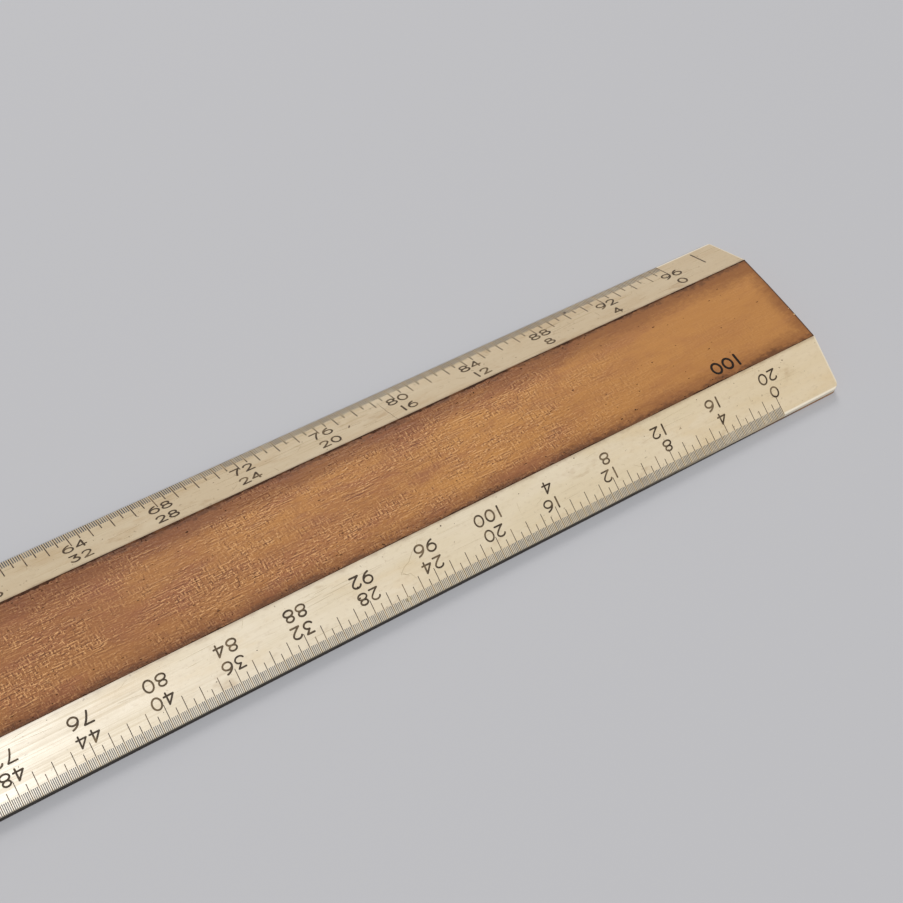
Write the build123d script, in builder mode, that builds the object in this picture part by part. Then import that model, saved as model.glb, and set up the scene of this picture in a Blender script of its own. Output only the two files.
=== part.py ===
"""Flat boxwood scale rule with two bevelled edges faced in ivory celluloid.

Frame: +X along the rule towards the end where the near scale starts, +Y across it towards the far
edge, +Z up. The origin is the centre of the underside. Millimetres and degrees.

The rule is a boxwood body with a low trapezoid section, a celluloid strip glued in a rebate on each
bevel, and dark wax rubbed into the graduation cuts. Nothing on it moves.
"""
import os
from math import cos, radians, sin, tan

from build123d import *

os.makedirs("parts", exist_ok=True)

# Stock
SCALE_LENGTH = 304.8        # twelve inches, from the first graduation to the last
END_MARGIN = 11.1           # plain stock beyond each end graduation
WIDTH = 32.8                # over the two celluloid edges
WOOD_FACE = 17.3            # bare wood between the two strips
EDGE_HEIGHT = 1.3           # top of the thin edge above the table
BEVEL_ANGLE = 27.0
CROWN = 0.2                 # rise of the wood face at its middle
STRIP_THICKNESS = 0.6       # celluloid, square to the bevel

# Worn edges
NEAR_CORNER = 1.1           # corner radii seen from above
FAR_CORNER = 0.6
EDGE_ROUND = 0.15           # rounded top edge of the strips
FACE_CHAMFER = 0.16         # broken edge at each end of the wood face
UNDERSIDE_CHAMFER = 0.15

# Graduations. Each is a cut across a bevel, measured up the slope from the outer edge. All but the
# end mark run out over the worn edge.
NEAR_UNITS = 120            # ten to the inch
FAR_UNITS = 96              # eight to the inch
NEAR_CUT_WIDTH = 0.11
FAR_CUT_WIDTH = 0.16
END_MARK_WIDTH = 0.24
CUT_DEPTH = 0.12
CUT_OVERRUN = 0.4           # how far the cutter travels past the edge
NEAR_UNIT_CUT_END = 3.25
NEAR_HALF_CUT_END = 2.25
FAR_UNIT_CUT_END = 3.55
FAR_HALF_CUT_END = 2.55
END_MARK_OFFSET = 6.45      # single line in the far margin, beyond the first graduation
END_MARK_START = 0.75
END_MARK_END = 4.75

# Derived
LENGTH = SCALE_LENGTH + 2 * END_MARGIN
SLOPE_SIN = sin(radians(BEVEL_ANGLE))
SLOPE_COS = cos(radians(BEVEL_ANGLE))
EDGE_Y = WIDTH / 2
FACE_Y = WOOD_FACE / 2
FACE_Z = EDGE_HEIGHT + (EDGE_Y - FACE_Y) * tan(radians(BEVEL_ANGLE))
SEAT_Y = FACE_Y - STRIP_THICKNESS * SLOPE_SIN
SEAT_Z = FACE_Z - STRIP_THICKNESS * SLOPE_COS
SEAT_EDGE_Z = EDGE_HEIGHT - STRIP_THICKNESS / SLOPE_COS
TOP_Z = FACE_Z + CROWN


def blank():
    """Add a plan-shaped block, with its worn corners, for a section to be cut from."""
    with BuildSketch() as plan:
        Rectangle(LENGTH, WIDTH)
        fillet(plan.vertices().group_by(Axis.Y)[0], NEAR_CORNER)
        fillet(plan.vertices().filter_by_position(Axis.Y, EDGE_Y - 0.1, EDGE_Y + 0.1), FAR_CORNER)
    extrude(plan.sketch, amount=TOP_Z)


def keep_section(section):
    """Keep only what lies inside a section drawn in the YZ plane."""
    extrude(section, amount=LENGTH, both=True, mode=Mode.INTERSECT)


def bevel_plane(side):
    """Plane of one bevel: origin on its outer edge, local Y pointing out and down the slope.

    Side is 1 for the far bevel and -1 for the near one. Local X is the way the numbers read, which
    is +X on the far bevel and -X on the near one.
    """
    return Plane(
        origin=(0, side * EDGE_Y, EDGE_HEIGHT),
        x_dir=(side, 0, 0),
        z_dir=(0, side * SLOPE_SIN, SLOPE_COS),
    )


def cuts(plane, positions, end, width, start=-CUT_OVERRUN):
    """Sketch one narrow rectangle at each position, from its start up the slope to its end."""
    with BuildSketch(plane) as lines:
        with Locations(*[(x, -(start + end) / 2) for x in positions]):
            Rectangle(width, end - start)
    return lines.sketch


def scale_positions(units):
    """Places of the whole-unit cuts and of the half-unit cuts along a scale."""
    pitch = SCALE_LENGTH / units
    whole = [-SCALE_LENGTH / 2 + i * pitch for i in range(units + 1)]
    half = [-SCALE_LENGTH / 2 + (i + 0.5) * pitch for i in range(units)]
    return whole, half


near_bevel = bevel_plane(-1)
far_bevel = bevel_plane(1)
near_whole, near_half = scale_positions(NEAR_UNITS)
far_whole, far_half = scale_positions(FAR_UNITS)

near_unit_cuts = cuts(near_bevel, near_whole, NEAR_UNIT_CUT_END, NEAR_CUT_WIDTH)
near_half_cuts = cuts(near_bevel, near_half, NEAR_HALF_CUT_END, NEAR_CUT_WIDTH)
far_unit_cuts = cuts(far_bevel, far_whole, FAR_UNIT_CUT_END, FAR_CUT_WIDTH)
far_half_cuts = cuts(far_bevel, far_half, FAR_HALF_CUT_END, FAR_CUT_WIDTH)
end_mark_cut = cuts(
    far_bevel, [SCALE_LENGTH / 2 + END_MARK_OFFSET], END_MARK_END, END_MARK_WIDTH, END_MARK_START
)

# Boxwood body: crowned face, a rebated seat on each bevel and a thin nose under each strip.
with BuildPart() as boxwood_body:
    blank()
    with BuildSketch(Plane.YZ) as wood_section:
        with BuildLine():
            Polyline(
                (-FACE_Y, FACE_Z),
                (-SEAT_Y, SEAT_Z),
                (-EDGE_Y, SEAT_EDGE_Z),
                (-EDGE_Y, 0),
                (EDGE_Y, 0),
                (EDGE_Y, SEAT_EDGE_Z),
                (SEAT_Y, SEAT_Z),
                (FACE_Y, FACE_Z),
            )
            ThreePointArc((FACE_Y, FACE_Z), (0, TOP_Z), (-FACE_Y, FACE_Z))
        make_face()
    keep_section(wood_section.sketch)
    face_ends = boxwood_body.edges().filter_by(GeomType.CIRCLE).filter_by(
        lambda edge: edge.center().Z > FACE_Z
    )
    chamfer(face_ends, FACE_CHAMFER)
    underside = boxwood_body.faces().sort_by(Axis.Z)[0]
    chamfer(underside.edges(), UNDERSIDE_CHAMFER)
boxwood_body.part.label = "boxwood_body"
export_step(boxwood_body.part, "parts/boxwood_body.step")


def strip_section(side):
    """Section of one celluloid strip: flat stock trimmed upright at the outer edge."""
    with BuildSketch(Plane.YZ) as section:
        with BuildLine():
            Polyline(
                (side * FACE_Y, FACE_Z),
                (side * SEAT_Y, SEAT_Z),
                (side * EDGE_Y, SEAT_EDGE_Z),
                (side * EDGE_Y, EDGE_HEIGHT),
                close=True,
            )
        make_face()
    return section.sketch


def worn_top_edges(strip, side):
    """Outer long edge, both ends and the two corner arcs of the strip's bevel face."""
    bevel_normal = Vector(0, side * SLOPE_SIN, SLOPE_COS)
    bevel_face = strip.faces().sort_by(lambda face: face.normal_at().dot(bevel_normal))[-1]
    return bevel_face.edges().sort_by(lambda edge: side * edge.center().Y)[1:]


# Celluloid strips, each with its graduations cut through the worn surface and out over its edge.
with BuildPart() as near_blank:
    blank()
    keep_section(strip_section(-1))
    fillet(worn_top_edges(near_blank, -1), EDGE_ROUND)

with BuildPart() as far_blank:
    blank()
    keep_section(strip_section(1))
    fillet(worn_top_edges(far_blank, 1), EDGE_ROUND)

with BuildPart() as near_strip:
    add(near_blank.part)
    extrude(near_unit_cuts, amount=-CUT_DEPTH, mode=Mode.SUBTRACT)
    extrude(near_half_cuts, amount=-CUT_DEPTH, mode=Mode.SUBTRACT)
near_strip.part.label = "near_strip"
export_step(near_strip.part, "parts/near_strip.step")

with BuildPart() as far_strip:
    add(far_blank.part)
    extrude(far_unit_cuts, amount=-CUT_DEPTH, mode=Mode.SUBTRACT)
    extrude(far_half_cuts, amount=-CUT_DEPTH, mode=Mode.SUBTRACT)
    extrude(end_mark_cut, amount=-CUT_DEPTH, mode=Mode.SUBTRACT)
far_strip.part.label = "far_strip"
export_step(far_strip.part, "parts/far_strip.step")

# Dark wax in the graduation cuts, flush with the bevels and with the worn edges.
with BuildPart() as near_unit_lines:
    extrude(near_unit_cuts, amount=-CUT_DEPTH)
    add(near_blank.part, mode=Mode.INTERSECT)
near_unit_lines.part.label = "near_unit_lines"
export_step(near_unit_lines.part, "parts/near_unit_lines.step")

with BuildPart() as near_half_lines:
    extrude(near_half_cuts, amount=-CUT_DEPTH)
    add(near_blank.part, mode=Mode.INTERSECT)
near_half_lines.part.label = "near_half_lines"
export_step(near_half_lines.part, "parts/near_half_lines.step")

with BuildPart() as far_unit_lines:
    extrude(far_unit_cuts, amount=-CUT_DEPTH)
    add(far_blank.part, mode=Mode.INTERSECT)
far_unit_lines.part.label = "far_unit_lines"
export_step(far_unit_lines.part, "parts/far_unit_lines.step")

with BuildPart() as far_half_lines:
    extrude(far_half_cuts, amount=-CUT_DEPTH)
    add(far_blank.part, mode=Mode.INTERSECT)
far_half_lines.part.label = "far_half_lines"
export_step(far_half_lines.part, "parts/far_half_lines.step")

with BuildPart() as far_end_mark:
    extrude(end_mark_cut, amount=-CUT_DEPTH)
far_end_mark.part.label = "far_end_mark"
export_step(far_end_mark.part, "parts/far_end_mark.step")
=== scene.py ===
import math
import random
from functools import reduce

import bmesh
import bpy
from mathutils import Matrix, Vector


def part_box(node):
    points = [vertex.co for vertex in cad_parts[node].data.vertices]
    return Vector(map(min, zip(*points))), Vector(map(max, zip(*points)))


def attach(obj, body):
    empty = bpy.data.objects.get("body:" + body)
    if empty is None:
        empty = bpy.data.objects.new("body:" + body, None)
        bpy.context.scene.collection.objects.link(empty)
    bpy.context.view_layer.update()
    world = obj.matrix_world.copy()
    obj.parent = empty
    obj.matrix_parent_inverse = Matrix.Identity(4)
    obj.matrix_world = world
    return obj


# A flat boxwood scale rule with two bevelled edges faced in ivory celluloid.
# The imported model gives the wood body, the two strips and the main graduations. This script adds
# the finest graduations, the numerals, the marks of age, the materials, the light and the camera.

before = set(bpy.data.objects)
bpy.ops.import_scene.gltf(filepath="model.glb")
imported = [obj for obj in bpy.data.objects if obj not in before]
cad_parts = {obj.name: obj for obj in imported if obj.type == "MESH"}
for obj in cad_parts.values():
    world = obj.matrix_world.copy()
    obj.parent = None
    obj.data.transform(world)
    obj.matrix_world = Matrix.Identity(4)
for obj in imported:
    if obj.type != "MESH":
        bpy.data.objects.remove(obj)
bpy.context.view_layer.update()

MM = 0.001
BODY = "root"

# Shape of the rule. These sizes are the design's own, and the places below are read from the
# imported far strip.
BEVEL = math.radians(27)
STRIP_THICKNESS = 0.6 * MM  # celluloid, square to the bevel
EDGE_ROUND = 0.15 * MM      # rounded top edge of the strips
CROWN = 0.2 * MM            # rise of the wood face at its middle
SCALE_LENGTH = 304.8 * MM   # from the first graduation to the last
SLOPE_SIN, SLOPE_COS = math.sin(BEVEL), math.cos(BEVEL)
strip_low, strip_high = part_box("far_strip")
END_X = strip_high[0]
EDGE_Y = strip_high[1]
FACE_Z = strip_high[2]
FACE_Y = strip_low[1] + STRIP_THICKNESS * SLOPE_SIN
EDGE_Z = FACE_Z - (EDGE_Y - FACE_Y) * math.tan(BEVEL)
ZERO_X = SCALE_LENGTH / 2   # end graduation of both scales, towards +X

# Sides of the rule, as the sign of Y
NEAR, FAR = -1, 1
NEAR_UNITS, FAR_UNITS = 120, 96

# Wax and dirt stand this far above the surface and reach this far into it. Strokes that cross are
# stacked, each a little above the one before.
LIFT = 0.012 * MM
SINK = 0.03 * MM
STACK = 0.002 * MM


# ---------------------------------------------------------------- places on the rule


def bevel_place(side, along=0.0, up=0.0):
    """Local frame on a bevel: u as the numbers read, v out and down the slope, h off the surface."""
    def place(u, v, h):
        slope = up - v
        return Vector((
            side * (along + u),
            side * (EDGE_Y - slope * SLOPE_COS + h * SLOPE_SIN),
            EDGE_Z + slope * SLOPE_SIN + h * SLOPE_COS,
        ))
    return place


def strip_place(side):
    """Local frame on a bevel with u as the place along X and v as the distance up the slope."""
    def place(u, v, h):
        return bevel_place(side)(side * u, -v, h)
    return place


def face_height(y):
    """Height of the crowned wood face."""
    return FACE_Z + CROWN * (1 - (y / FACE_Y) ** 2)


def face_place(x, y, turn=-1):
    """Local frame on the wood face. With turn -1 it reads towards -X, like the near strip."""
    def place(u, v, h):
        at_y = y + turn * v
        return Vector((x + turn * u, at_y, face_height(at_y) + h))
    return place


# ---------------------------------------------------------------- mesh building


ROUND_END = (80, 52, 26)    # degrees up the half circle that closes a stroke, outermost first


class Solids:
    """Collects small closed solids that lie on a surface, and makes one object of them."""

    def __init__(self):
        self.points = []
        self.faces = []

    def _ring(self, place, corners, height):
        start = len(self.points)
        self.points += [place(u, v, height) for u, v in corners]
        return start

    def tile(self, place, corners):
        """A flat tile with the given outline, counter-clockwise in u and v."""
        count = len(corners)
        top = self._ring(place, corners, LIFT)
        base = self._ring(place, corners, -SINK)
        self.faces.append(tuple(range(top, top + count)))
        self.faces.append(tuple(range(base + count - 1, base - 1, -1)))
        for i in range(count):
            j = (i + 1) % count
            self.faces.append((base + i, base + j, top + j, top + i))

    def sheath(self, place, left, right, loop=False, lift=LIFT):
        """A thin solid between a left and a right line of (u, v) points, a closed ring if loop."""
        lines = [[place(u, v, height) for u, v in line]
                 for height in (lift, -SINK) for line in (left, right)]
        self.shell(*lines, loop)

    def shell(self, top_left, top_right, low_left, low_right, loop=False):
        """A closed solid between four lines of points in space."""
        count = len(top_left)
        top_l = len(self.points)
        top_r, low_l, low_r = top_l + count, top_l + 2 * count, top_l + 3 * count
        self.points += top_left + top_right + low_left + low_right
        for i in range(count if loop else count - 1):
            j = (i + 1) % count
            self.faces += [
                (top_l + i, top_r + i, top_r + j, top_l + j),
                (low_l + i, low_l + j, low_r + j, low_r + i),
                (low_r + i, low_r + j, top_r + j, top_r + i),
                (low_l + j, low_l + i, top_l + i, top_l + j),
            ]
        if not loop:
            last = count - 1
            self.faces.append((top_l, low_l, low_r, top_r))
            self.faces.append((top_l + last, top_r + last, low_r + last, low_l + last))

    def ribbon(self, place, line, widths, loop=False, lift=LIFT):
        """A band of changing width along a line of (u, v) points."""
        count = len(line)
        left, right = [], []
        for i, (u, v) in enumerate(line):
            before = line[i - 1] if i or loop else line[0]
            after = line[(i + 1) % count] if i < count - 1 or loop else line[-1]
            du, dv = after[0] - before[0], after[1] - before[1]
            size = math.hypot(du, dv) or 1.0
            half = widths[i] / 2
            left.append((u - dv / size * half, v + du / size * half))
            right.append((u + dv / size * half, v - du / size * half))
        self.sheath(place, left, right, loop, lift)

    def stroke(self, place, line, width, loop=False, lift=LIFT):
        """An engraver's stroke of even width: its ends are round, and sharp corners start afresh."""
        if loop:
            self.ribbon(place, line, [width] * len(line), True, lift)
            return
        for piece in smooth_runs(line):
            start = round_end(piece[0], piece[1], width)
            end = round_end(piece[-1], piece[-2], width)
            points = [p for p, _ in start] + piece + [p for p, _ in reversed(end)]
            widths = [w for _, w in start] + [width] * len(piece) + [w for _, w in reversed(end)]
            self.ribbon(place, points, widths, False, lift)
            lift += STACK

    def make(self, name, material, slot):
        """One object of all the solids, on the rule's body and with the given material. The slot is
        not used.
        """
        mesh = bpy.data.meshes.new(name)
        mesh.from_pydata(self.points, [], self.faces)
        shape = bmesh.new()
        shape.from_mesh(mesh)
        bmesh.ops.recalc_face_normals(shape, faces=shape.faces)
        shape.to_mesh(mesh)
        shape.free()
        piece = bpy.data.objects.new(name, mesh)
        bpy.context.scene.collection.objects.link(piece)
        mesh.materials.append(material)
        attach(piece, BODY)


def smooth_runs(line, sharpest=40):
    """Cut a line wherever it turns by more than so many degrees."""
    corners = [0]
    for i in range(1, len(line) - 1):
        arriving = math.atan2(line[i][1] - line[i - 1][1], line[i][0] - line[i - 1][0])
        leaving = math.atan2(line[i + 1][1] - line[i][1], line[i + 1][0] - line[i][0])
        turn = math.degrees(abs(math.remainder(leaving - arriving, math.tau)))
        if turn > sharpest:
            corners.append(i)
    corners.append(len(line) - 1)
    return [line[a:b + 1] for a, b in zip(corners, corners[1:])]


def round_end(tip, inside, width):
    """Points and widths that close a stroke with a half circle beyond its tip."""
    du, dv = tip[0] - inside[0], tip[1] - inside[1]
    size = math.hypot(du, dv)
    du, dv = du / size, dv / size
    half = width / 2
    steps = []
    for angle in map(math.radians, ROUND_END):
        beyond = (tip[0] + du * half * math.sin(angle), tip[1] + dv * half * math.sin(angle))
        steps.append((beyond, width * math.cos(angle)))
    return steps


# ---------------------------------------------------------------- numerals


def arc(cx, cy, rx, ry, start, end, steps=16):
    """Points on an ellipse, from one angle to another in degrees."""
    return [
        (cx + rx * math.cos(math.radians(start + (end - start) * i / steps)),
         cy + ry * math.sin(math.radians(start + (end - start) * i / steps)))
        for i in range(steps + 1)
    ]


def bend(a, b, c, steps=8):
    """Points on a quadratic curve from a to c, drawn towards b."""
    return [
        tuple((1 - t) ** 2 * a[k] + 2 * t * (1 - t) * b[k] + t ** 2 * c[k] for k in (0, 1))
        for t in (i / steps for i in range(steps + 1))
    ]


def ring(cx, cy, rx, ry, steps=28):
    """Points round a whole ellipse, without its first point again at the end."""
    return arc(cx, cy, rx, ry, 0, 360 - 360 / steps, steps - 1)


def turned(strokes, width):
    """The same strokes upside down, as 9 is to 6."""
    return [([(width - x, 1 - y) for x, y in line], loop) for line, loop in strokes]


# Each numeral is a set of centre lines in a box one high: (points, closed into a ring). WIDE is
# the width of all but the 1.
WIDE = 0.82
SIX = [
    (ring(0.41, 0.33, 0.41, 0.33), True),
    (arc(0.83, 0.33, 0.83, 0.68, 180, 104, 12), False),
]
NUMERALS = {
    "0": [(ring(0.41, 0.5, 0.41, 0.5, 36), True)],
    "1": [([(0.0, 0.0), (0.0, 1.0)], False)],
    "2": [(arc(0.40, 0.74, 0.37, 0.26, 170, -15, 14)
           + bend((0.757, 0.673), (0.66, 0.44), (0.03, 0.0))[1:]
           + [(0.80, 0.0)], False)],
    "3": [([(0.06, 1.0), (0.72, 1.0), (0.36, 0.60)]
           + arc(0.38, 0.30, 0.40, 0.30, 84, -158, 18), False)],
    "4": [([(0.60, 0.0), (0.60, 1.0), (0.0, 0.27), (0.84, 0.27)], False)],
    "5": [([(0.72, 1.0), (0.16, 1.0), (0.10, 0.56)]
           + arc(0.38, 0.32, 0.40, 0.32, 134, -155, 18), False)],
    "6": SIX,
    "7": [([(0.02, 1.0), (0.80, 1.0)]
           + bend((0.80, 1.0), (0.42, 0.56), (0.28, 0.0))[1:], False)],
    "8": [(ring(0.41, 0.765, 0.33, 0.235), True), (ring(0.41, 0.265, 0.41, 0.265), True)],
    "9": turned(SIX, WIDE),
}
GAP = 0.34                  # between two numerals, in heights
GAP_AT_ONE = 0.54           # beside a 1
TEEN_SHIFT = 0.36           # a leading 1 stands close to the middle of its number
NUMBER_SHIFT = 0.16 * MM    # all numbers stand a little off their graduations, towards +X
NUMBERED_EVERY = 4          # units from one number to the next

# Hand work: how far a number may slip along, lean and drop, and how much its strokes vary.
SLIP, DROP = 0.03, 0.02     # in heights
LEAN = 1.3                  # in degrees
STROKE_WIDTHS = (0.92, 1.08)
LINE_LEVELS = 3             # levels of the stack kept for the pieces of one line


def numeral_width(mark):
    """Width of one numeral, in heights."""
    return 0.0 if mark == "1" else WIDE


def number(solids, text, place, height, weight, rng):
    """Engrave a number centred on the local origin, its foot at v = 0."""
    gaps = [GAP_AT_ONE if "1" in pair else GAP for pair in zip(text, text[1:])]
    total = sum(map(numeral_width, text)) + sum(gaps)
    at = -total / 2 + rng.uniform(-SLIP, SLIP)
    if len(text) == 2 and text[0] == "1":
        at += TEEN_SHIFT
    lean = math.radians(rng.uniform(-LEAN, LEAN))
    drop = rng.uniform(-DROP, DROP)
    for i, mark in enumerate(text):
        lift = LIFT
        for line, loop in NUMERALS[mark]:
            spots = []
            for x, y in line:
                u, v = x + at, y + drop
                spots.append(((u * math.cos(lean) - v * math.sin(lean)) * height,
                              (u * math.sin(lean) + v * math.cos(lean)) * height))
            solids.stroke(place, spots, weight * rng.uniform(*STROKE_WIDTHS), loop, lift)
            lift += LINE_LEVELS * STACK
        at += numeral_width(mark) + (gaps[i] if i < len(gaps) else 0)


def label(value):
    """Numbers above one hundred are stamped without their hundred."""
    return str(value - 100) if value > 100 else str(value)


def number_row(name, material, side, units, foot, height, weight, rising, seed):
    """Numbers along a strip, with sizes in millimetres. Rising rows count up as they are read."""
    rng = random.Random(seed)
    solids = Solids()
    pitch = SCALE_LENGTH / units
    for value in range(0, units + 1, NUMBERED_EVERY):
        along = (value * pitch - ZERO_X if rising else ZERO_X - value * pitch) + side * NUMBER_SHIFT
        place = bevel_place(side, along, foot * MM)
        number(solids, label(value), place, height * MM, weight * MM, rng)
    solids.make(name, material, "wax")


# ---------------------------------------------------------------- materials


def srgb(r, g, b):
    """Linear colour from the 0 to 255 values that a screen shows."""
    def linear(c):
        c /= 255
        return c / 12.92 if c <= 0.04045 else ((c + 0.055) / 1.055) ** 2.4
    return (linear(r), linear(g), linear(b), 1.0)


class Nodes:
    """Short calls for building one material's node tree."""

    def __init__(self, name):
        self.material = bpy.data.materials.new(name)
        self.material.use_nodes = True
        self.tree = self.material.node_tree
        self.shader = self.tree.nodes["Principled BSDF"]
        self.place = self.tree.nodes.new("ShaderNodeTexCoord").outputs["Object"]

    def link(self, value, socket):
        """Join an output to a socket, or set the socket to a plain value."""
        if isinstance(value, bpy.types.NodeSocket):
            self.tree.links.new(value, socket)
        else:
            socket.default_value = value

    def math(self, operation, a, b=0.0):
        node = self.tree.nodes.new("ShaderNodeMath")
        node.operation = operation
        self.link(a, node.inputs[0])
        self.link(b, node.inputs[1])
        return node.outputs[0]

    def plus(self, a, b):
        return self.math("ADD", a, b)

    def minus(self, a, b):
        return self.math("SUBTRACT", a, b)

    def times(self, *values):
        return reduce(lambda a, b: self.math("MULTIPLY", a, b), values)

    def largest(self, *values):
        return reduce(lambda a, b: self.math("MAXIMUM", a, b), values)

    def size(self, value):
        return self.math("ABSOLUTE", value)

    def axes(self):
        node = self.tree.nodes.new("ShaderNodeSeparateXYZ")
        self.link(self.place, node.inputs[0])
        return node.outputs

    def noise(self, scale, detail=2.0, roughness=0.5, distortion=0.0, offset=(0, 0, 0)):
        """Noise in object space, with scale as waves per metre along X, Y and Z."""
        mapping = self.tree.nodes.new("ShaderNodeMapping")
        self.link(self.place, mapping.inputs["Vector"])
        mapping.inputs["Location"].default_value = offset
        mapping.inputs["Scale"].default_value = scale
        node = self.tree.nodes.new("ShaderNodeTexNoise")
        self.link(mapping.outputs[0], node.inputs["Vector"])
        node.inputs["Scale"].default_value = 1.0
        node.inputs["Detail"].default_value = detail
        node.inputs["Roughness"].default_value = roughness
        node.inputs["Distortion"].default_value = distortion
        return node.outputs["Fac"]

    def ramp(self, value, low, high, out_low=0.0, out_high=1.0):
        """Map low..high to out_low..out_high, eased at both ends and clamped."""
        node = self.tree.nodes.new("ShaderNodeMapRange")
        node.interpolation_type = "SMOOTHSTEP"
        self.link(value, node.inputs["Value"])
        node.inputs["From Min"].default_value = low
        node.inputs["From Max"].default_value = high
        node.inputs["To Min"].default_value = out_low
        node.inputs["To Max"].default_value = out_high
        return node.outputs["Result"]

    def mix(self, factor, a, b):
        """Colour a turned into colour b by a factor from 0 to 1."""
        node = self.tree.nodes.new("ShaderNodeMix")
        node.data_type = "RGBA"
        self.link(factor, node.inputs["Factor"])
        self.link(a, node.inputs["A"])
        self.link(b, node.inputs["B"])
        return node.outputs["Result"]

    def bump(self, height, strength, distance):
        node = self.tree.nodes.new("ShaderNodeBump")
        node.inputs["Strength"].default_value = strength
        node.inputs["Distance"].default_value = distance
        self.link(height, node.inputs["Height"])
        self.link(node.outputs["Normal"], self.shader.inputs["Normal"])

    def set(self, **values):
        """Give the shader its values, with _ for each space in a socket's name."""
        for name, value in values.items():
            self.link(value, self.shader.inputs[name.replace("_", " ")])
        return self.material


# Stretches along X over which the age of the rule and the painted shade along its lower edges
# change, towards the start of the near scale
WOOD_GOLDEN = (60 * MM, 130 * MM)
WOOD_LESS_RED = (50 * MM, 90 * MM)
WOOD_CALM = (112 * MM, 150 * MM)
PORES_THIN_OUT = (107 * MM, 142 * MM)
NOSE_FADE = (146 * MM, 160 * MM)
EDGE_FADE = (122 * MM, 150 * MM)


def wood_tone(n, x):
    """Tone of the wood, and its fine streaks: golden where it is handled, redder in between."""
    clouds = n.noise((30, 120, 120), 3.0, 0.55)
    colour = n.mix(n.ramp(clouds, 0.36, 0.66), srgb(156, 101, 56), srgb(183, 126, 67))
    colour = n.mix(n.ramp(x, *WOOD_GOLDEN, 0.0, 0.75), colour, srgb(186, 129, 67))
    colour = n.mix(n.ramp(x, *WOOD_LESS_RED, 0.45, 0.0), colour, srgb(144, 92, 55))

    calm = n.ramp(x, *WOOD_CALM, 1.0, 0.35)
    reddish = n.noise((90, 260, 260), 3.0, 0.6, 0.4, offset=(3.1, 0, 0))
    reddish = n.times(n.ramp(reddish, 0.40, 0.72, 0.0, 0.70), calm)
    colour = n.mix(reddish, colour, srgb(146, 88, 60))
    mottle = n.noise((420, 700, 700), 4.0, 0.65, 0.3, offset=(6.0, 0, 0))
    mottle = n.times(n.ramp(mottle, 0.46, 0.70, 0.0, 0.32), calm)
    colour = n.mix(mottle, colour, srgb(138, 86, 54))
    streaks = n.noise((60, 1500, 1500), 3.0, 0.6, 0.3)
    streaky = n.times(n.ramp(streaks, 0.38, 0.62, 0.12, 0.0), calm)
    return n.mix(streaky, colour, srgb(126, 80, 50)), streaks


def wood_pores(n, x):
    """Strength of the lit and of the dark side of the pores, and how busy the wood is with them. The
    lit side is lighter grain with a painted highlight, the dark side dark pore with painted shade.
    """
    def pits(scale, step, offset):
        here = n.noise(scale, 3.0, 0.55, 0.08, offset)
        there = n.noise(scale, 3.0, 0.55, 0.08, tuple(a + b for a, b in zip(offset, step)))
        return n.minus(here, there)

    # Pores along the grain and rays across it come in patches.
    patches = n.noise((110, 320, 320), 3.0, 0.6, offset=(0, 5, 0))
    patches = n.ramp(patches, 0.38, 0.60, 0.40, 1.0)
    busy = n.times(n.ramp(x, *PORES_THIN_OUT, 1.0, 0.12), patches)
    ray_zone = n.noise((130, 260, 260), 2.0, 0.5, offset=(4.0, 0, 1.0))
    ray_zone = n.ramp(ray_zone, 0.34, 0.52, 0.45, 1.0)
    pores = n.times(pits((1500, 3700, 3700), (-0.1, 0.45, 0), (1.7, 0, 0)), 0.94)
    lines = n.times(pits((300, 4200, 4200), (0, 0.5, 0), (7.3, 2.0, 0)), 0.80)
    rays = n.times(pits((3100, 1150, 1150), (-0.45, 0, 0), (0, 3.3, 0)), ray_zone)

    def side_of(low, high, most):
        """Strength of one side of the pores, with positive limits for the lit side."""
        shades = [n.ramp(fleck, low, high, 0.0, most) for fleck in (pores, lines, rays)]
        return n.times(n.largest(*shades), busy)

    return side_of(0.085, 0.17, 0.82), side_of(-0.09, -0.18, 0.90), busy


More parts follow.
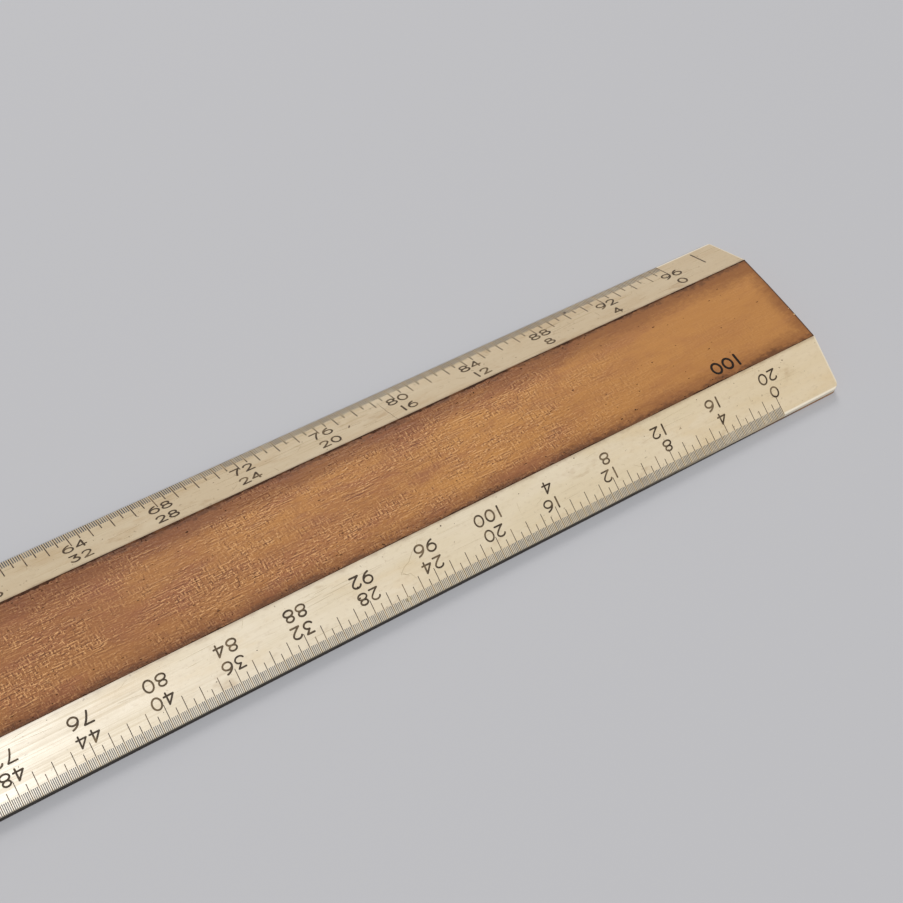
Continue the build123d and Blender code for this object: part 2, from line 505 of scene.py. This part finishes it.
def boxwood():
    """Old varnished boxwood: straight grain along X, short pores and rays, dark at the joints."""
    n = Nodes("boxwood")
    x, y, z = n.axes()
    off_centre, off_middle = n.size(y), n.size(x)
    top = n.ramp(z, FACE_Z - 0.35 * MM, FACE_Z - 0.1 * MM)

    colour, streaks = wood_tone(n, x)
    lit, dark, busy = wood_pores(n, x)
    # Pore sides: lighter grain with a painted highlight, and dark pores with painted shade.
    colour = n.mix(lit, colour, srgb(226, 172, 114))
    colour = n.mix(dark, colour, srgb(96, 56, 34))

    # Grime held along both joints and at the ends of the top face, with a ragged border. It
    # reaches further from the far joint.
    ragged = n.minus(n.noise((130, 420, 0), 4.0, 0.65, offset=(0, 0, 2.0)), 0.5)
    speckled = n.minus(n.noise((1100, 1900, 0), 3.0, 0.6, offset=(0, 1.0, 0)), 0.5)
    uneven = n.plus(n.times(ragged, 3.0 * MM), n.times(speckled, 2.4 * MM))
    reach = n.plus(off_centre, uneven)
    far_lean = n.ramp(y, 0.0, 5.0 * MM, 0.0, 1.0 * MM)
    wide = n.ramp(n.plus(reach, far_lean), FACE_Y - 3.6 * MM, FACE_Y - 0.2 * MM, 0.0, 0.62)
    tight = n.ramp(reach, FACE_Y - 1.1 * MM, FACE_Y, 0.0, 0.60)
    end_shade = n.ramp(n.plus(off_middle, uneven), END_X - 3.4 * MM, END_X, 0.0, 0.62)
    colour = n.mix(n.times(n.largest(wide, end_shade), top), colour, srgb(112, 62, 32))
    colour = n.mix(n.times(tight, top), colour, srgb(64, 35, 18))
    # A dark line along the very ends of the top face.
    arris = n.ramp(off_middle, END_X - 0.45 * MM, END_X - 0.2 * MM, 0.0, 0.8)
    colour = n.mix(n.times(arris, top), colour, srgb(46, 27, 18))

    # Sides: the thin noses under the strips are painted near black, partly dirt from handling and
    # partly painted shade under the strip edges, less dark towards the start.
    nose = n.ramp(z, 0.62 * MM, 0.72 * MM, 0.97, 0.0)
    side = n.ramp(off_centre, EDGE_Y - 0.7 * MM, EDGE_Y - 0.3 * MM)
    nose_fade = n.ramp(n.plus(x, n.times(ragged, 30 * MM)), *NOSE_FADE, 1.0, 0.35)
    colour = n.mix(n.times(nose, side, nose_fade), colour, srgb(14, 10, 8))

    roughness = n.plus(n.ramp(streaks, 0.3, 0.7, 0.42, 0.55), n.times(dark, 0.25))
    grain = n.noise((1500, 3700, 3700), 3.0, 0.55, 0.08, offset=(1.7, 0, 0))
    relief = n.plus(n.times(grain, n.plus(busy, 0.15)), n.times(streaks, 0.25))
    n.bump(relief, 0.5, 0.12 * MM)
    return n.set(Base_Color=colour, Roughness=roughness, Specular_IOR_Level=0.35)


def celluloid(name, ivory, pale, warm, staining):
    """Aged ivory celluloid: faint grain along X, warm stains, grime at the joint, fine scratches."""
    n = Nodes(name)
    x, y, z = n.axes()
    off_centre, off_middle = n.size(y), n.size(x)
    colour = n.mix(n.ramp(n.noise((40, 140, 140), 3.0, 0.6), 0.38, 0.66), ivory, pale)
    clouds = n.noise((90, 240, 240), 4.0, 0.65, 0.5, offset=(2.0, 0, 0))
    colour = n.mix(n.ramp(clouds, 0.47, 0.72, 0.0, staining), colour, warm)
    streaks = n.noise((14, 2300, 2300), 3.0, 0.65)
    colour = n.mix(n.ramp(streaks, 0.42, 0.70, 0.0, 0.14), colour, srgb(184, 158, 122))
    towards_end = n.ramp(off_middle, END_X - 60 * MM, END_X, 0.0, 0.40)
    colour = n.mix(towards_end, colour, warm)

    blotch = n.noise((210, 380, 380), 3.0, 0.6, offset=(5.0, 1.0, 0))
    colour = n.mix(n.ramp(blotch, 0.60, 0.78, 0.0, staining), colour, srgb(170, 138, 96))
    mottle = n.noise((1300, 2200, 2200), 3.0, 0.6, offset=(0, 2.0, 0))
    colour = n.mix(n.ramp(mottle, 0.52, 0.72, 0.0, 0.16), colour, srgb(162, 136, 104))
    ragged = n.times(n.minus(n.noise((420, 900, 0), 3.0, 0.6), 0.5), 0.9 * MM)
    joint = n.ramp(n.plus(off_centre, ragged), FACE_Y - 0.1 * MM, FACE_Y + 0.5 * MM, 0.5, 0.0)
    colour = n.mix(joint, colour, srgb(128, 98, 68))
    specks = n.noise((1500, 1500, 1500), 2.0, 0.5, offset=(0, 7.0, 0))
    colour = n.mix(n.ramp(specks, 0.70, 0.78, 0.0, 0.6), colour, srgb(112, 88, 62))

    # Worn arrises are painted lighter: wear, and a painted highlight where they catch the light, but
    # for the long ones where the graduations cross them.
    end_arris = n.ramp(off_middle, END_X - 0.40 * MM, END_X - 0.15 * MM)
    long_arris = n.times(n.ramp(off_centre, EDGE_Y - 0.36 * MM, EDGE_Y - 0.14 * MM),
                         n.ramp(off_middle, ZERO_X, ZERO_X + 0.3 * MM))
    arris_wear_and_highlight = n.largest(n.times(end_arris, 0.45), n.times(long_arris, 0.7))
    colour = n.mix(arris_wear_and_highlight, colour, srgb(246, 238, 220))

    # The thin upright edge is painted near black: a stain from the table and painted shade, less
    # dark towards the start of the scales.
    low = n.ramp(z, EDGE_Z - 0.30 * MM, EDGE_Z + 0.01 * MM, 0.96, 0.0)
    outer = n.ramp(off_centre, EDGE_Y - 0.12 * MM, EDGE_Y - 0.04 * MM)
    edge_fade = n.ramp(n.plus(x, n.times(ragged, 20)), *EDGE_FADE, 1.0, 0.25)
    # This mask holds both the stain and the painted shade.
    grime = n.times(low, outer, edge_fade)
    colour = n.mix(grime, colour, srgb(20, 15, 11))

    scratches = n.noise((30, 5200, 5200), 2.0, 0.6, 0.1, offset=(0, 0, 3.0))
    polish = n.ramp(n.noise((60, 200, 200), 3.0, 0.6), 0.3, 0.7, 0.23, 0.34)
    scuffs = n.plus(n.ramp(scratches, 0.50, 0.70, 0.0, 0.12), n.ramp(streaks, 0.40, 0.65, 0.0, 0.10))
    waves = n.times(n.noise((240, 240, 240), 3.0), 0.65)
    relief = n.plus(n.plus(n.times(scratches, 0.35), waves), n.times(mottle, 0.2))
    n.bump(relief, 0.4, 0.04 * MM)
    return n.set(
        Base_Color=colour,
        Roughness=n.plus(polish, scuffs),
        Coat_Roughness=0.2,
        Specular_IOR_Level=n.ramp(grime, 0.0, 1.0, 0.5, 0.1),
        Coat_Weight=n.ramp(grime, 0.0, 1.0, 0.12, 0.0),
    )


def wax(name, worn, colour, worn_colour, shine=0.2):
    """Dark filling wax, worn thin in places by an amount from 0 to 1."""
    n = Nodes(name)
    patches = n.noise((420, 420, 420), 3.0, 0.6)
    shift = 0.3 * worn
    thin = n.ramp(patches, 0.62 - shift, 0.86 - shift, 0.0, 0.9)
    shade = n.mix(thin, colour, worn_colour)
    roughness = n.ramp(patches, 0.3, 0.7, 0.5, 0.7)
    n.bump(n.noise((9000, 9000, 9000), 2.0), 0.3, 0.01 * MM)
    return n.set(Base_Color=shade, Roughness=roughness, Specular_IOR_Level=shine)


wood_material = boxwood()
near_material = celluloid(
    "near_celluloid", srgb(220, 202, 169), srgb(228, 212, 184), srgb(214, 187, 143), 0.45
)
# The far strip is the same celluloid given a darker, browner colour: partly more dirt, partly
# painted shade on the far bevel.
far_material = celluloid(
    "far_celluloid", srgb(204, 183, 149), srgb(212, 194, 163), srgb(190, 162, 122), 0.60
)
wax_lines = wax("wax_lines", 0.5, srgb(58, 44, 34), srgb(132, 108, 82))
wax_near_fine = wax("wax_near_fine", 0.5, srgb(100, 99, 98), srgb(148, 142, 132), 0.7)
wax_far_fine = wax("wax_far_fine", 0.5, srgb(85, 86, 89), srgb(138, 132, 122))
wax_near_bold = wax("wax_near_bold", 0.6, srgb(66, 52, 36), srgb(126, 106, 80))
wax_far_bold = wax("wax_far_bold", 0.55, srgb(70, 54, 36), srgb(122, 102, 76))
wax_black = wax("wax_black", 0.0, srgb(30, 20, 15), srgb(60, 46, 34))

# The same recipe also serves for dirt, old glue and bare wood.
dirt_material = wax("dirt", 0.3, srgb(78, 56, 40), srgb(150, 122, 90))
near_faint = wax("near_faint_dirt", 0.3, srgb(182, 164, 130), srgb(204, 188, 156), 0.3)
far_faint = wax("far_faint_dirt", 0.3, srgb(156, 134, 100), srgb(180, 160, 126), 0.3)
seam_material = wax("seam_grime", 0.6, srgb(60, 37, 24), srgb(108, 70, 45), 0.08)
nick_material = wax("bare_wood", 0.3, srgb(226, 190, 138), srgb(206, 164, 110), 0.3)


def dress(material, *nodes):
    """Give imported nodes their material."""
    for node in nodes:
        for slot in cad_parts[node].material_slots:
            slot.material = material


dress(wood_material, "boxwood_body")
dress(near_material, "near_strip")
dress(far_material, "far_strip")
dress(wax_lines, "near_unit_lines", "near_half_lines")
dress(wax_lines, "far_unit_lines", "far_half_lines", "far_end_mark")


# ---------------------------------------------------------------- finest graduations


PARTS = 10                  # finest parts in one unit
INNER_ENDS = (-0.03, 0.03)  # how far the inner end of a line is off, in millimetres
LINE_WIDTHS = (0.85, 1.12)


def edge_profile(inner, offset, steps=3):
    """Slope position and height of a line from a bevel out over its rounded edge.

    An offset holds the whole line off the surface.
    """
    centre = EDGE_ROUND * (1 - SLOPE_SIN) / SLOPE_COS
    points = [(inner, offset)]
    for i in range(steps + 1):
        angle = (math.pi / 2 - BEVEL) * i / steps
        points.append((centre - (EDGE_ROUND + offset) * math.sin(angle),
                       (EDGE_ROUND + offset) * math.cos(angle) - EDGE_ROUND))
    return points


def fine_lines(name, material, side, units, inner, width, seed):
    """The lines between half units, cut from the outer edge up to the short ends of the others."""
    rng = random.Random(seed)
    solids = Solids()
    pitch = SCALE_LENGTH / units / PARTS
    place = bevel_place(side)
    for i in range(units * PARTS + 1):
        if i % PARTS == 0 or 2 * i % PARTS == 0:
            continue
        u = i * pitch - ZERO_X
        reach = inner * MM + rng.uniform(*INNER_ENDS) * MM
        half = width * MM * rng.uniform(*LINE_WIDTHS) / 2
        top, low = edge_profile(reach, LIFT), edge_profile(reach, -SINK)
        solids.shell(*[[place(u + shift, -slope, height) for slope, height in profile]
                       for profile in (top, low) for shift in (half, -half)])
    solids.make(name, material, "wax")


fine_lines("near_fine_lines", wax_near_fine, NEAR, NEAR_UNITS, 1.33, 0.135, 11)
fine_lines("far_fine_lines", wax_far_fine, FAR, FAR_UNITS, 1.52, 0.16, 12)

# Two rows of numbers on each strip: the foot's distance up the slope from the outer edge, the height
# and the width of a stroke in millimetres, then whether the row is a rising one, and its seed.
for row in (
    ("near_outer_numbers", wax_near_bold, NEAR, NEAR_UNITS, 4.51, 1.54, 0.26, True, 21),
    ("near_inner_numbers", wax_near_bold, NEAR, NEAR_UNITS, 6.97, 1.57, 0.27, False, 22),
    ("far_outer_numbers", wax_far_bold, FAR, FAR_UNITS, 4.68, 1.62, 0.285, True, 23),
    ("far_inner_numbers", wax_far_bold, FAR, FAR_UNITS, 7.45, 1.54, 0.285, False, 24),
):
    number_row(*row)


def face_number():
    """The 100 stamped in the wood beside the last numbers above one hundred."""
    height, weight = 1.82 * MM, 0.38 * MM
    solids = Solids()
    place = face_place(ZERO_X - 5.03 * MM, -5.58 * MM)
    number(solids, "100", place, height, weight, random.Random(31))
    solids.make("face_number", wax_black, "wax")


face_number()


# ---------------------------------------------------------------- marks of age
# Their places and sizes are in millimetres: u along X, v up the slope of a bevel or along Y.


def wobbly(rng, points, wobble, steps=6):
    """The same line with more points, each a little out of place."""
    line = [points[0]]
    for a, b in zip(points, points[1:]):
        for i in range(1, steps + 1):
            t = i / steps
            shake = 0.0 if i == steps else wobble
            line.append((a[0] + (b[0] - a[0]) * t + rng.uniform(-shake, shake),
                         a[1] + (b[1] - a[1]) * t + rng.uniform(-shake, shake)))
    return line


def scratch(solids, place, rng, points, width, wobble=0.0):
    """A hair line that is finest at its two ends."""
    finest, unevenness = 0.35, (0.8, 1.2)
    line = [(u * MM, v * MM) for u, v in wobbly(rng, points, wobble)]
    last = len(line) - 1
    widths = []
    for i in range(last + 1):
        swell = finest + (1 - finest) * math.sin(math.pi * i / last)
        widths.append(width * MM * swell * rng.uniform(*unevenness))
    solids.ribbon(place, line, widths)


def speck(solids, place, rng, u, v, radius, length=1.0, corners=9):
    """A small uneven spot, longer along X by the length."""
    outline = []
    for i in range(corners):
        angle = math.tau * i / corners
        reach = radius * rng.uniform(0.7, 1.2)
        outline.append(((u + reach * length * math.cos(angle)) * MM,
                        (v + reach * math.sin(angle)) * MM))
    solids.tile(place, outline)


def seam(name, side, thinnest, thickest, seed):
    """Ragged dark line of old glue and grime on the wood beside a joint, finer towards the start."""
    step = 0.45 * MM
    outer_y = FACE_Y - 0.005 * MM
    end = END_X - 0.2 * MM
    fade_from, fade_over = 135 * MM, 28 * MM
    lump_chance, lump = 0.03, 0.4
    rng = random.Random(seed)
    count = int(2 * end / step)
    drift, outer, inner = 0.5, [], []
    for i in range(count + 1):
        u = -end + i * 2 * end / count
        drift = min(1.0, max(0.0, drift + rng.uniform(-0.22, 0.22)))
        jag = rng.uniform(0.65, 1.35) + (rng.random() < lump_chance) * lump
        fade = 1.0 - 0.5 * max(0.0, (u - fade_from) / fade_over)
        width = (thinnest + (thickest - thinnest) * drift) * jag * fade * MM
        outer.append((u, side * outer_y))
        inner.append((u, side * (FACE_Y - width)))
    solids = Solids()
    solids.sheath(face_place(0.0, 0.0, 1), *((outer, inner) if side > 0 else (inner, outer)))
    solids.make(name, seam_material, "wax")


def random_strip_marks(dark, faint, place, rng, amount):
    """Small dark spots, then long faint scratches along a strip and fewer short ones across it."""
    lowest, highest = 1.2, 8.5
    spots_along, spots_up = (-162, 162), (1.6, highest)
    long_along, long_up = (-160, 156), (1.7, 8.4)
    short_along, short_up = (-160, 160), (1.8, 8.0)
    for _ in range(amount):
        u, v = rng.uniform(*spots_along), rng.uniform(*spots_up)
        speck(dark, place, rng, u, v, rng.uniform(0.025, 0.07), rng.uniform(0.8, 1.8))
    for _ in range(amount):
        u, v = rng.uniform(*long_along), rng.uniform(*long_up)
        length, slant = rng.uniform(0.8, 7.0), rng.gauss(0.0, 0.25)
        tip = (u + length, max(lowest, min(highest, v + slant)))
        scratch(faint, place, rng, [(u, v), tip], rng.uniform(0.015, 0.035), 0.02)
    for _ in range(amount // 3):
        u, v = rng.uniform(*short_along), rng.uniform(*short_up)
        turn, length = rng.uniform(0.4, 2.7), rng.uniform(0.5, 1.8)
        tip = (u + length * math.cos(turn), min(highest, v + length * math.sin(turn)))
        scratch(faint, place, rng, [(u, v), tip], rng.uniform(0.02, 0.045), 0.03)


def strip_marks():
    """Cracks, scratches and rust spots that stand out on the strips, then fine random marks."""
    rng = random.Random(51)
    near, far = strip_place(NEAR), strip_place(FAR)
    dark_near, dark_far, faint_near, faint_far = Solids(), Solids(), Solids(), Solids()

    crack = [(99.1, 2.6), (99.0, 5.5), (99.15, 8.7)]
    rust = [(92.75, 5.5), (93.15, 4.9)]
    hair = [(91.2, 7.8), (89.3, 6.2), (86.8, 4.4), (88.1, 4.0), (88.7, 3.0)]
    scratch(dark_far, far, rng, crack, 0.045, 0.03)
    scratch(dark_far, far, rng, rust, 0.24)
    speck(dark_far, far, rng, 133.75, 1.1, 0.22)
    scratch(faint_near, near, rng, hair, 0.06, 0.12)

    # A bundle of nearly parallel scratches: the place of the start, and the length
    rise = 0.12
    for u, v, length in (
        (73.0, 6.1, 4.2), (75.5, 6.45, 5.0), (72.4, 6.8, 3.6), (77.2, 6.95, 3.0), (74.6, 7.25, 2.4),
    ):
        scratch(faint_near, near, rng, [(u, v), (u + length, v + rise)], 0.05, 0.02)
    speck(faint_near, near, rng, 86.4, 1.0, 0.34, 1.5)
    for u, v, radius in (
        (80.6, 5.5, 0.17), (80.2, 4.1, 0.14), (117.7, 8.2, 0.10),
        (156.25, 7.5, 0.10), (129.4, 6.5, 0.07), (95.0, 8.0, 0.12),
    ):
        speck(dark_near, near, rng, u, v, radius)

    random_strip_marks(dark_near, faint_near, near, rng, 70)
    random_strip_marks(dark_far, faint_far, far, rng, 110)

    dark_near.make("near_dark_marks", dirt_material, "celluloid")
    faint_near.make("near_faint_marks", near_faint, "celluloid")
    dark_far.make("far_dark_marks", dirt_material, "celluloid")
    faint_far.make("far_faint_marks", far_faint, "celluloid")


def wood_marks():
    """Open pores and pin holes in the wood face, most of them away from the start of the scales."""
    rng = random.Random(61)
    place = face_place(0.0, 0.0, 1)
    pores, nicks = Solids(), Solids()

    def along(start, stretch, power=1.0):
        """A place along the face, from a start towards -X. A power under 1 favours the far end."""
        return start - stretch * rng.random() ** power

    def beside_a_joint(nearest, spread):
        """A place across the face, close to one of the two joints."""
        return rng.choice((-1, 1)) * (nearest - abs(rng.gauss(0.0, spread)))

    def pore(u, v, radii, lengths):
        speck(pores, place, rng, u, v, rng.uniform(*radii), rng.uniform(*lengths))

    for _ in range(520):
        pore(along(160, 322, 0.8), rng.uniform(-8.2, 8.2), (0.025, 0.06), (1.0, 5.0))
    for _ in range(30):
        pore(along(140, 295), beside_a_joint(8.3, 1.6), (0.06, 0.12), (1.0, 2.2))
    for _ in range(420):
        pore(along(146, 308), beside_a_joint(8.5, 0.5), (0.035, 0.09), (0.8, 2.4))

    # Bare wood where the arris at the end is chipped
    speck(nicks, place, rng, 163.2, -3.95, 0.14, 0.8)
    speck(nicks, place, rng, 163.15, -2.6, 0.06, 1.2)
    pores.make("wood_pores", seam_material, "boxwood")
    nicks.make("wood_nicks", nick_material, "boxwood")


seam("near_seam", NEAR, 0.07, 0.22, 41)
seam("far_seam", FAR, 0.14, 0.36, 42)
strip_marks()
wood_marks()


# ---------------------------------------------------------------- light, floor and camera


def soft_sun(name, towards, strength, angle, colour):
    """An even light from a round patch of sky so many degrees across."""
    data = bpy.data.lights.new(name, "SUN")
    data.energy = strength
    data.angle = math.radians(angle)
    data.color = colour
    lamp = bpy.data.objects.new(name, data)
    bpy.context.scene.collection.objects.link(lamp)
    lamp.rotation_euler = (-Vector(towards)).to_track_quat("-Z", "Y").to_euler()


def floor(half=15.0):
    """A large pale table top, so many metres out from the middle."""
    corners = [(-half, -half, 0), (half, -half, 0), (half, half, 0), (-half, half, 0)]
    mesh = bpy.data.meshes.new("floor")
    mesh.from_pydata(corners, [], [(0, 1, 2, 3)])
    piece = bpy.data.objects.new("floor", mesh)
    bpy.context.scene.collection.objects.link(piece)
    mesh.materials.append(Nodes("table").set(Base_Color=srgb(186, 185, 187), Roughness=0.7))


def studio():
    """Dim even surroundings, a soft key light from the near side and a softer one from beyond."""
    world = bpy.data.worlds.new("studio")
    world.use_nodes = True
    background = world.node_tree.nodes["Background"]
    background.inputs["Color"].default_value = (0.95, 0.97, 1.0, 1.0)
    background.inputs["Strength"].default_value = 0.29
    bpy.context.scene.world = world
    soft_sun("key", (-0.055, -0.50, 0.86), strength=2.02, angle=17, colour=(0.97, 0.985, 1.0))
    soft_sun("window", (0.30, 0.80, 0.57), strength=1.2, angle=26, colour=(1.0, 0.98, 0.96))
    bpy.context.scene.view_settings.view_transform = "Standard"


def camera():
    """Looks down along the rule from the near side, turned a little about its own axis."""
    target = Vector((104.08, 1.66, 2.5)) * MM
    distance = 227.4 * MM
    azimuth, elevation, roll = math.radians(40.68), math.radians(55.25), math.radians(-9.76)
    forward = Vector((
        math.sin(azimuth) * math.cos(elevation),
        math.cos(azimuth) * math.cos(elevation),
        -math.sin(elevation),
    ))
    level = Vector((math.cos(azimuth), -math.sin(azimuth), 0))
    upright = level.cross(forward)
    up = upright * math.cos(roll) + level * math.sin(roll)
    right = forward.cross(up)
    data = bpy.data.cameras.new("camera")
    data.sensor_width = 36.0
    data.lens = 63.21
    data.clip_start, data.clip_end = 0.01, 60.0
    eye = bpy.data.objects.new("camera", data)
    bpy.context.scene.collection.objects.link(eye)
    turn = Matrix((right, up, -forward)).transposed().to_4x4()
    eye.matrix_world = Matrix.Translation(target - forward * distance) @ turn
    bpy.context.scene.camera = eye


floor()
studio()
camera()
